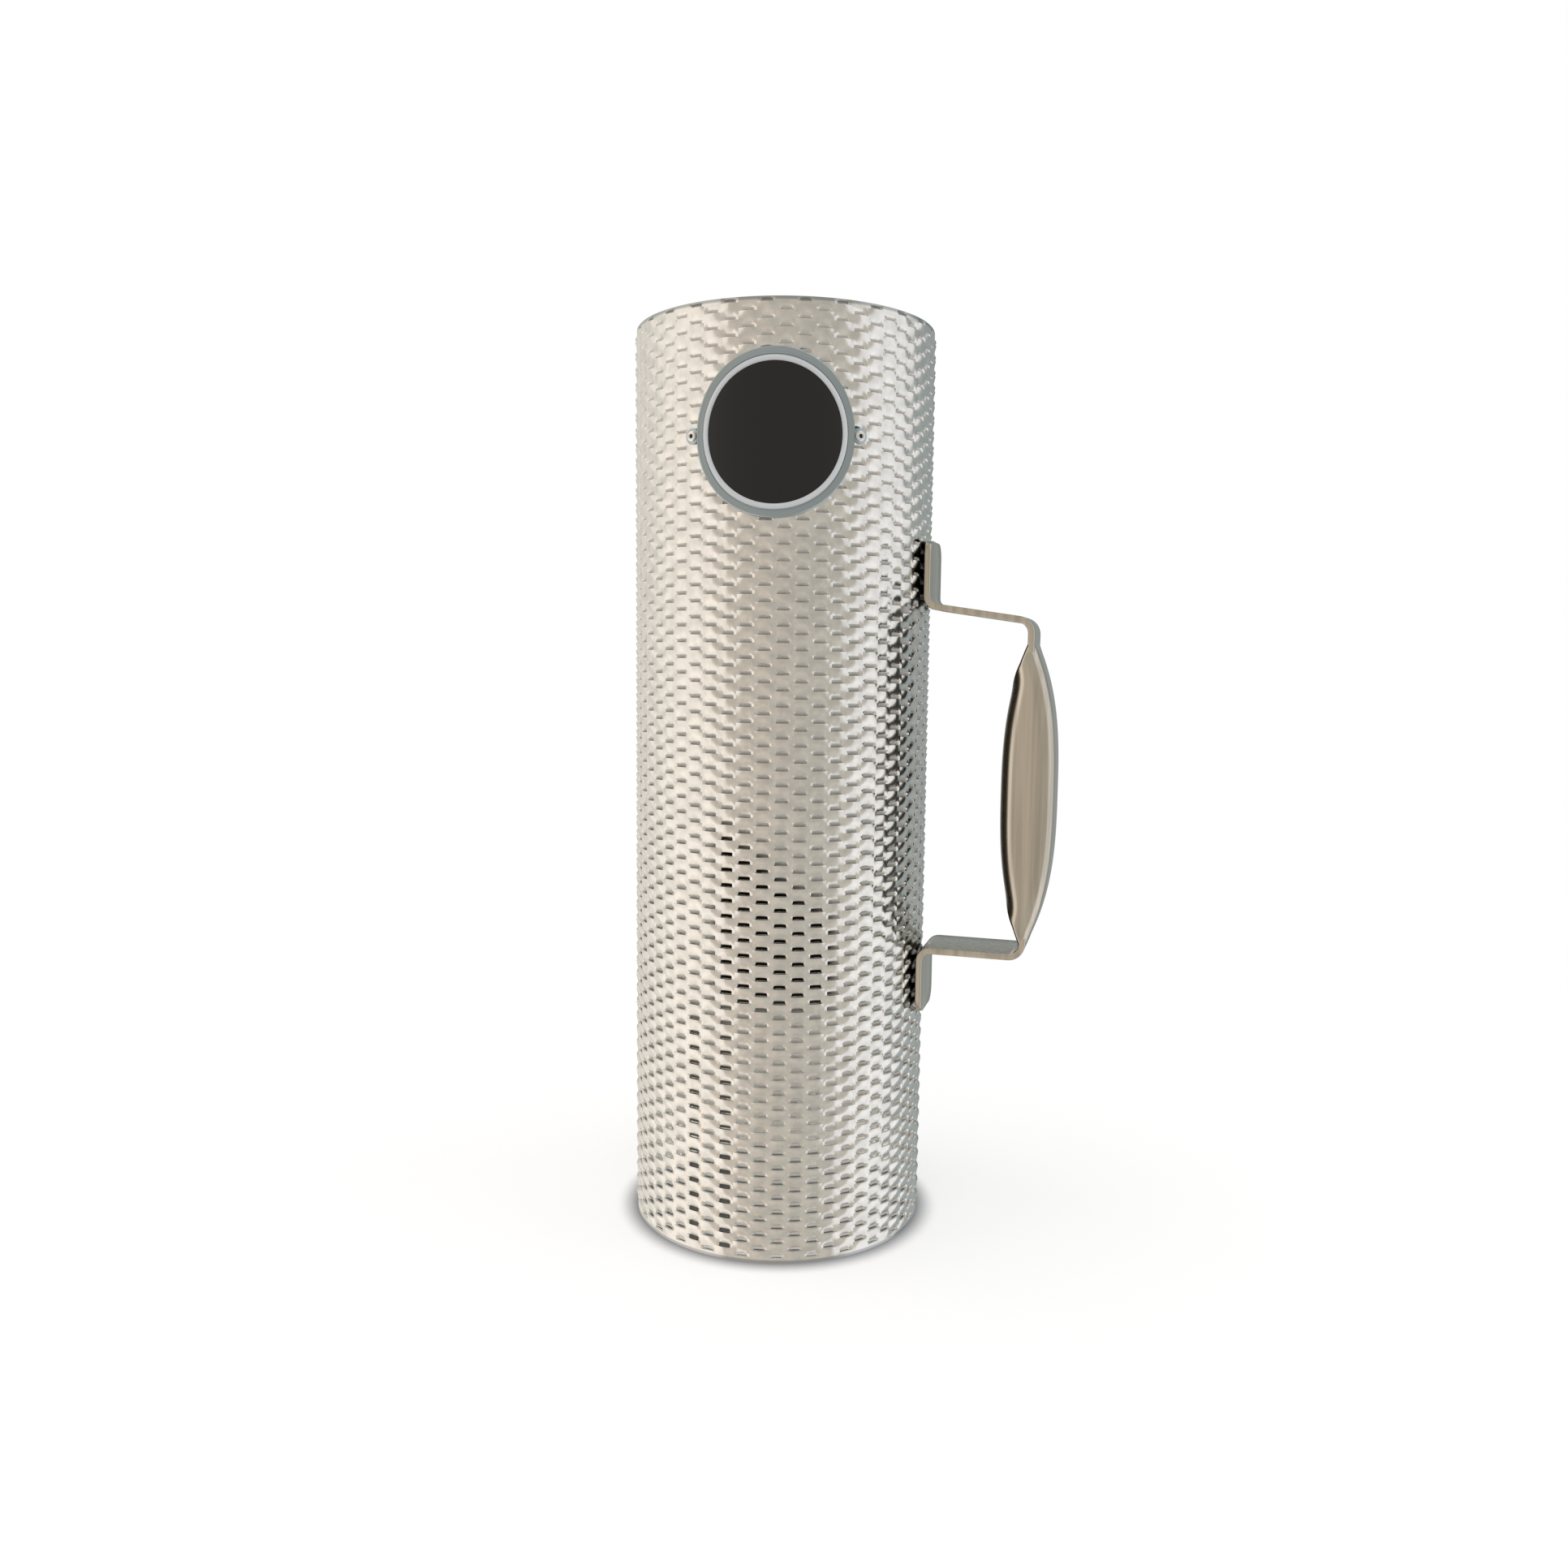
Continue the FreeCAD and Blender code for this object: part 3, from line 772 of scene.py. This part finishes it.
GRIP_LOW, GRIP_HIGH = 102.2, 201.2
GRIP_MIDDLE = (GRIP_LOW + GRIP_HIGH) / 2
GRIP_REACH = (GRIP_HIGH - GRIP_LOW) / 2
GRIP_DEPTH = 15.3
GRIP_BULGE = 7.7
GRIP_CORNER = 3.9
GRIP_STEPS = 56
DEPTH_POWER, BULGE_POWER, SWELL_POWER = 2.8, 2.9, 3
FOLD_START, FOLD_SPAN = 0.25, 0.5
LIP_TURN = math.radians(80)
LIP_FLAT = 1.2
SLIVER = 0.02
NECK_BACK = NECK + STRIP / 2
print("grip %.1f mm long" % (GRIP_HIGH - GRIP_LOW))

# %% The rolled grip


def grip_line(share, steps=6):
    # Centreline of half the section, from the middle of the back to the free edge, and its way at each point;
    # share is -1 at the grip's lower end and 1 at its upper end
    depth = GRIP_DEPTH * max(0.0, 1 - abs(share) ** DEPTH_POWER)
    back = NECK_BACK + GRIP_BULGE * (1 - abs(share) ** BULGE_POWER) - STRIP / 2
    radius = GRIP_CORNER
    half = STRIP_HALF - STRIP / 2
    swell = 1 - abs(share) ** SWELL_POWER
    fold = max(0.0, min(1.0, (swell - FOLD_START) / FOLD_SPAN))
    fold = fold * fold * (3 - 2 * fold)
    turned = math.acos(max(0.0, 1 - depth / radius))
    lip_turn = LIP_TURN * fold
    side = max(SLIVER, depth - radius - radius * math.sin(lip_turn)) if depth > radius else SLIVER
    line, ways = [], []
    flat = half - radius * math.sin(turned)
    for k in range(4):
        line.append(Vector((back, flat * k / 4)))
        ways.append(0.0)
    for k in range(steps + 1):
        angle = turned * k / steps
        line.append(Vector((back - radius * (1 - math.cos(angle)), flat + radius * math.sin(angle))))
        ways.append(angle)
    here = line[-1] + Vector((-math.sin(turned), math.cos(turned))) * side
    for k in range(steps + 1):
        angle = lip_turn * k / steps
        way = turned + angle
        shift = Vector((-math.sin(turned) * math.sin(angle) - math.cos(turned) * (1 - math.cos(angle)),
                        math.cos(turned) * math.sin(angle) - math.sin(turned) * (1 - math.cos(angle))))
        line.append(here + shift * radius)
        ways.append(way)
    last = line[-1] + Vector((-math.sin(ways[-1]), math.cos(ways[-1]))) * (SLIVER + LIP_FLAT * fold)
    line.append(last)
    ways.append(ways[-1])
    return line, ways


def grip_ring(share):
    # The section as a closed ring: along the outside, round each free edge and back along the inside
    line, ways = grip_line(share)
    half = STRIP / 2
    outer = [(p.x + half * math.cos(w), p.y + half * math.sin(w)) for p, w in zip(line, ways)]
    inner = [(p.x - half * math.cos(w), p.y - half * math.sin(w)) for p, w in zip(line, ways)]
    end, way = line[-1], ways[-1]
    cap = []
    for angle in (30, 60, 90, 120, 150):
        turn = way + math.radians(angle)
        cap.append((end.x + half * math.cos(turn), end.y + half * math.sin(turn)))
    right = outer + cap + inner[:0:-1]
    left = [(x, -y) for x, y in right]
    height = GRIP_MIDDLE + share * GRIP_REACH
    loop = right + [(inner[0][0], 0.0)] + left[:0:-1]
    return [(x, y, height) for x, y in loop]


# Rings lie closer together toward the grip's ends
grip_rings = [grip_ring(math.sin(math.radians(-90 + 180 * n / GRIP_STEPS))) for n in range(GRIP_STEPS + 1)]
handle_grip = loft("grip", grip_rings)
handle = joined("handle_strip", [upper_strap, lower_strap, handle_grip], HANDLE_SHARP)
piece(outward(handle), "handle", handle_steel)

# %% [markdown]
# ## The badge
#
# The badge is a round plate, pressed with a rolled outer lip and a raised ring, and bent to the tube. A
# disc of black enamel fills the ring. A Screw and a Simple Deform modifier could turn and bend it. Here
# each point of the turned profile is bent as it is made, which keeps its seat just off the tips of the
# scales.

# %% The badge's profile, turned and bent

BADGE_TURN = math.radians(-77.0)
BADGE_DROP = 40.3
BADGE_HEIGHT = TUBE_HEIGHT - BADGE_DROP
BADGE_PLATE = 0.8
BADGE_ARC = SEAT + BADGE_PLATE
BADGE_RADIUS = 25.5
RIVET_OFFSET = 1.8
RIVET_SHIFT = BADGE_RADIUS + RIVET_OFFSET
BADGE_SHARP = 35


def bent(across, up, rise):
    # A point of the flat badge, bent round the tube; rise is measured from the scale tips
    turn = BADGE_TURN + across / BADGE_ARC
    radius = SEAT + rise
    return (radius * math.cos(turn), radius * math.sin(turn), BADGE_HEIGHT + up)


def bent_lathe(name, profile, centre=(0.0, 0.0), segments=96):
    # The profile is a closed loop of (radius, rise); a radius of 0 closes at the middle
    points, faces = [], []
    rings = []
    for radius, rise in profile:
        ring = []
        for k in range(segments if radius > 0 else 1):
            angle = 2 * math.pi * k / segments
            across, up = centre[0] + radius * math.cos(angle), centre[1] + radius * math.sin(angle)
            ring.append(len(points))
            points.append(bent(across, up, rise))
        rings.append(ring)
    for low, high in zip(rings, rings[1:] + rings[:1]):
        if len(low) == 1 and len(high) == 1:
            continue
        for k in range(segments):
            m = (k + 1) % segments
            corners = [low[k % len(low)], low[m % len(low)], high[m % len(high)], high[k % len(high)]]
            corners = list(dict.fromkeys(corners))
            faces.append(tuple(corners))
    return outward(mesh_object(name, points, faces, BADGE_SHARP))


print("badge's middle at z %.1f mm" % BADGE_HEIGHT)

# %% The badge's pieces

FLANGE = [(25.45, 0.0), (25.5, 0.35), (25.4, 0.75), (25.1, 0.98), (24.75, 0.95), (24.45, 0.78), (24.0, 0.68),
          (23.5, 0.6), (23.25, 0.5), (23.2, 0.15), (22.9, 0.15), (22.9, 0.0), (23.7, 0.0), (24.6, 0.0)]
RING = [(22.9, 0.0), (22.9, 0.75), (22.75, 1.12), (22.5, 1.26), (22.0, 1.3), (21.5, 1.24), (21.25, 1.05),
        (21.15, 0.8), (21.15, 0.0), (22.0, 0.0)]
ENAMEL = [(0, 0.0), (5, 0.0), (10, 0.0), (15, 0.0), (20, 0.0), (21.15, 0.0), (21.15, 0.86), (20.8, 0.93),
          (18, 0.95), (14, 0.96), (10, 0.97), (5, 0.98), (0, 0.98)]
EAR = [(0, 0.0), (2.45, 0.0), (2.5, 0.3), (2.4, 0.5), (2.2, 0.6), (0, 0.6)]
EAR_SEGMENTS = 32
badge_metal = finish("badge_metal", (0.42, 0.50, 0.545), 0.28)
ring_white = finish("ring_white", (0.76, 0.77, 0.78), 0.4, metallic=0.0)
black_enamel_and_bore_shade = finish("badge_enamel", (0.025, 0.024, 0.0235), 0.4, metallic=0.0)
black_enamel_and_bore_shade.node_tree.nodes["Principled BSDF"].inputs["Specular IOR Level"].default_value = 0.22
badge_ring = bent_lathe("badge_ring", RING)
badge_disc = bent_lathe("badge_enamel_disc", ENAMEL)
ears = [bent_lathe("ear", EAR, (side * RIVET_SHIFT, 0), EAR_SEGMENTS) for side in (-1, 1)]
badge_frame = joined("badge_frame", [bent_lathe("badge_flange", FLANGE)] + ears, BADGE_SHARP)
piece(badge_frame, "badge_plate", badge_metal)
piece(badge_ring, "badge_plate", ring_white)
piece(badge_disc, "badge_plate", black_enamel_and_bore_shade)

# %% [markdown]
# ## The rivets
#
# Two hollow rivets hold the badge. Each is a short tube whose ends are rolled over, one on the badge's tab
# and one inside the scaled wall. A torus and a cylinder could stand for them, but one turned profile gives
# the roll and the bore together. A dark disc inside stands for the shade of the bore.

# %% Turned rivets

RIVET_PROFILE = [(0.6, -2.6), (0.75, -2.75), (1.1, -2.85), (1.5, -2.75), (1.65, -2.55), (1.5, -2.42),
                 (1.15, -2.4), (1.15, 0.8), (1.6, 0.8), (1.65, 0.95), (1.5, 1.15), (1.1, 1.3), (0.8, 1.24),
                 (0.62, 1.05), (0.6, 0.8)]
BORE_SHADE_PROFILE = [(0, 0.5), (0.62, 0.5), (0.62, 0.9), (0, 0.9)]
BORE_SHADE_SEGMENTS = 24
RIVET_SHARP = 50


def rivet(name, side, segments=32):
    # Points run round the profile, one turn of it for each segment
    turn = BADGE_TURN + side * RIVET_SHIFT / BADGE_ARC
    out = Vector((math.cos(turn), math.sin(turn), 0))
    over = Vector((-math.sin(turn), math.cos(turn), 0))
    up = Vector((0, 0, 1))
    foot = out * SEAT + up * BADGE_HEIGHT
    points, faces = [], []
    count = len(RIVET_PROFILE)
    for k in range(segments):
        angle = 2 * math.pi * k / segments
        for radius, rise in RIVET_PROFILE:
            points.append(foot + out * rise + (over * math.cos(angle) + up * math.sin(angle)) * radius)
        for n in range(count):
            a, b = k * count, ((k + 1) % segments) * count
            m = (n + 1) % count
            faces.append((a + n, b + n, b + m, a + m))
    return outward(mesh_object(name, points, faces, RIVET_SHARP))


rivet_steel = finish("rivet_steel", (0.82, 0.82, 0.82), 0.25)
for name, side in (("badge_rivet_left", -1), ("badge_rivet_right", 1)):
    piece(rivet(name + "_turned", side), name, rivet_steel)
    bore_shade = bent_lathe(name + "_hole", BORE_SHADE_PROFILE, (side * RIVET_SHIFT, 0), BORE_SHADE_SEGMENTS)
    # The dark disc in each bore is painted shade, in the badge's black enamel
    piece(bore_shade, name, black_enamel_and_bore_shade)

# %% [markdown]
# ## Floor and light
#
# The object stands on a white floor, with a painted contact shadow: a soft dark ring where the tube meets
# it. The floor and the world are white for the camera. Mirror-like rays pass through the floor and see the
# studio, which is painted on the world as bands round the object: a dim room toward the camera, a warm
# bright side on the left, a cool one on the right and darker backs. The lamps light what is matt and cast
# the shadow. Neither the camera nor mirror-like rays see them, so the bands alone set how bright the metal
# is.

# %% The world

ROOM = (0.585, 0.55, 0.49)
ROOM_LEFT = (0.665, 0.60, 0.52)
WARM_SIDE = (1.10, 1.02, 0.92)
WARM_BACK = (0.86, 0.82, 0.75)
COOL_SIDE = (0.99, 0.98, 0.97)
COOL_BACK = (0.385, 0.42, 0.415)
BANDS = ((-1, 5, ROOM_LEFT), (-1, 42, WARM_SIDE), (1, 50, COOL_SIDE),
         (-1, 105, WARM_BACK), (1, 105, COOL_BACK))
BAND_FADE = 10
LEVEL, FROM_BELOW, SHADED = 0.91, 1.03, 0.10
BELOW_FADE, SHADED_FADE = (0.05, 0.5), (0.42, 0.75)
AMBIENT = 0.6
WHITE = (1.0, 1.0, 1.0)


def band_color(tree, direction):
    # Each band starts at an angle to the left (-1) or to the right (1) of the camera
    side = side_angle(tree, direction)
    color = ROOM
    for sign, start, tint in BANDS:
        share = share_above(tree, product(tree, side, float(sign)), *radians((start, start + BAND_FADE)))
        color = two_colors(tree, share, color, tint)
    return color


def band_strength(tree, direction):
    # Brighter from below, where the white floor lies, and a little dimmer again straight below, where the
    # object shades it
    fall = product(tree, parts_of(tree, direction)["Z"], -1.0)
    below = share_above(tree, fall, *BELOW_FADE)
    shaded = product(tree, share_above(tree, fall, *SHADED_FADE), SHADED)
    lit = math_node(tree, "MULTIPLY_ADD", below, FROM_BELOW - LEVEL, LEVEL)
    return math_node(tree, "SUBTRACT", lit, shaded)


def background(tree, color, strength):
    node = tree.nodes.new("ShaderNodeBackground")
    feed(tree, node.inputs["Color"], color)
    feed(tree, node.inputs["Strength"], strength)
    return node.outputs[0]


def studio_world():
    world = bpy.data.worlds.new("studio")
    world.use_nodes = True
    tree = world.node_tree
    tree.nodes.clear()
    direction = coordinates(tree, "Generated")
    studio = background(tree, band_color(tree, direction), band_strength(tree, direction))
    ray = tree.nodes.new("ShaderNodeLightPath").outputs
    unseen = two_shaders(tree, ray["Is Glossy Ray"], background(tree, WHITE, AMBIENT), studio)
    surface = two_shaders(tree, ray["Is Camera Ray"], unseen, background(tree, WHITE, 1.0))
    tree.links.new(surface, tree.nodes.new("ShaderNodeOutputWorld").inputs["Surface"])
    return world


scene.world = studio_world()
print("world bands:", len(BANDS) + 1)

# %% The floor

FLOOR_HALF = 9000
FLOOR_GREY = (0.8, 0.8, 0.8)
FLOOR_GLOW = 0.41
PAINTED_SHADOW_FADE = (47.5, 58.5)
PAINTED_SHADOW_COLOR = (0.14, 0.14, 0.15)
FAR_FADE = (150, 700)


def floor_finish():
    # Near the object the floor is lit by the lamps and glows a little, with a painted contact shadow round
    # the tube's foot; far away it is plain white
    material = finish("floor_white", FLOOR_GREY, 0.9, metallic=0.0)
    tree = material.node_tree
    shader = tree.nodes["Principled BSDF"]
    shader.inputs["Specular IOR Level"].default_value = 0.0
    ray = tree.nodes.new("ShaderNodeLightPath").outputs
    length = tree.nodes.new("ShaderNodeVectorMath")
    length.operation = "LENGTH"
    tree.links.new(coordinates(tree, "Object"), length.inputs[0])
    away = share_above(tree, length.outputs["Value"], *metres(PAINTED_SHADOW_FADE))
    far = share_above(tree, length.outputs["Value"], *metres(FAR_FADE))
    for name, color in (("Base Color", FLOOR_GREY), ("Emission Color", WHITE)):
        # Inside the fade the floor's colour and glow are painted dark: a painted contact shadow round the
        # tube's foot
        tree.links.new(two_colors(tree, away, PAINTED_SHADOW_COLOR, color), shader.inputs[name])
    tree.links.new(product(tree, ray["Is Camera Ray"], FLOOR_GLOW), shader.inputs["Emission Strength"])
    far_white = tree.nodes.new("ShaderNodeEmission")
    far_white.inputs["Color"].default_value = (*WHITE, 1)
    seen_far = product(tree, far, ray["Is Camera Ray"])
    near_or_far = two_shaders(tree, seen_far, shader.outputs[0], far_white.outputs[0])
    see_through = tree.nodes.new("ShaderNodeBsdfTransparent").outputs[0]
    surface = two_shaders(tree, ray["Is Glossy Ray"], near_or_far, see_through)
    output = next(node for node in tree.nodes if node.type == "OUTPUT_MATERIAL")
    tree.links.new(surface, output.inputs["Surface"])
    return material


corners = [(x * FLOOR_HALF, y * FLOOR_HALF, 0) for x, y in ((-1, -1), (1, -1), (1, 1), (-1, 1))]
floor = mesh_object("floor", corners, [(0, 1, 2, 3)])
floor.data.materials.append(floor_finish())
print("floor %.0f m wide" % (2 * FLOOR_HALF * MM))

# %% The lamps

AIM_HEIGHT = 0.15


def soft_lamp(name, turn, distance, height, width, tall, radiance, color):
    # A rectangular lamp that faces the tube; turn is measured from the camera's side, + to the right
    lamp = bpy.data.lights.new(name, "AREA")
    lamp.shape = "RECTANGLE"
    lamp.size = width
    lamp.size_y = tall
    lamp.color = color
    lamp.energy = radiance * math.pi * width * tall
    obj = bpy.data.objects.new(name, lamp)
    obj.visible_camera = False
    obj.visible_glossy = False
    scene.collection.objects.link(obj)
    angle = CAMERA_TURN + math.radians(turn)
    obj.location = (distance * math.sin(angle), -distance * math.cos(angle), height)
    aim = Vector((0, 0, AIM_HEIGHT)) - obj.location
    obj.rotation_euler = aim.to_track_quat("-Z", "Y").to_euler()


soft_lamp("warm_left", -92, 1.1, 0.45, 1.3, 1.3, 0.72, (1.0, 0.96, 0.91))
soft_lamp("white_right", 80, 1.1, 0.45, 1.0, 1.3, 0.74, WHITE)
soft_lamp("top", 0, 0.35, 1.5, 1.0, 1.0, 0.55, WHITE)
print("lamps:", [(lamp.name, round(lamp.energy, 1)) for lamp in bpy.data.lights])

# %% [markdown]
# ## Camera
#
# The camera's place, tilt and lens were solved from the photograph: both edges of the tube and both of its
# rims fix them. It stands close, a little to the handle's side, and looks slightly down.

# %% The camera

# Distances in metres, the lens and its sensor in millimetres
CAMERA_DISTANCE = 0.4377
CAMERA_HEIGHT = 0.1974
CAMERA_TILT = math.radians(5.99)
CAMERA_ROLL = math.radians(0.59)
CAMERA_LENS = 28.66
SENSOR = 36
IMAGE_WIDTH = 1932
SHIFT_PIXELS = 3.34
CLIP = (0.01, 50)
camera_data = bpy.data.cameras.new("camera")
camera_data.sensor_width = SENSOR
camera_data.lens = CAMERA_LENS
camera_data.shift_x = SHIFT_PIXELS / IMAGE_WIDTH
camera_data.clip_start, camera_data.clip_end = CLIP
camera = bpy.data.objects.new("camera", camera_data)
scene.collection.objects.link(camera)
scene.camera = camera
level_ahead = Vector((-math.sin(CAMERA_TURN), math.cos(CAMERA_TURN), 0))
ahead = level_ahead * math.cos(CAMERA_TILT) - Vector((0, 0, math.sin(CAMERA_TILT)))
right = Vector((math.cos(CAMERA_TURN), math.sin(CAMERA_TURN), 0))
upward = right.cross(ahead)
rolled_right = right * math.cos(CAMERA_ROLL) + upward * math.sin(CAMERA_ROLL)
rolled_up = upward * math.cos(CAMERA_ROLL) - right * math.sin(CAMERA_ROLL)
turned = Matrix((rolled_right, rolled_up, -ahead)).transposed()
stand = Vector((0, 0, CAMERA_HEIGHT)) - level_ahead * CAMERA_DISTANCE
camera.matrix_world = Matrix.Translation(stand) @ turned.to_4x4()
scene.view_settings.view_transform = "Standard"
print("camera at", [round(value, 3) for value in camera.matrix_world.translation])

# %% [markdown]
# ## Finish
#

# %% Finish

bpy.context.view_layer.update()
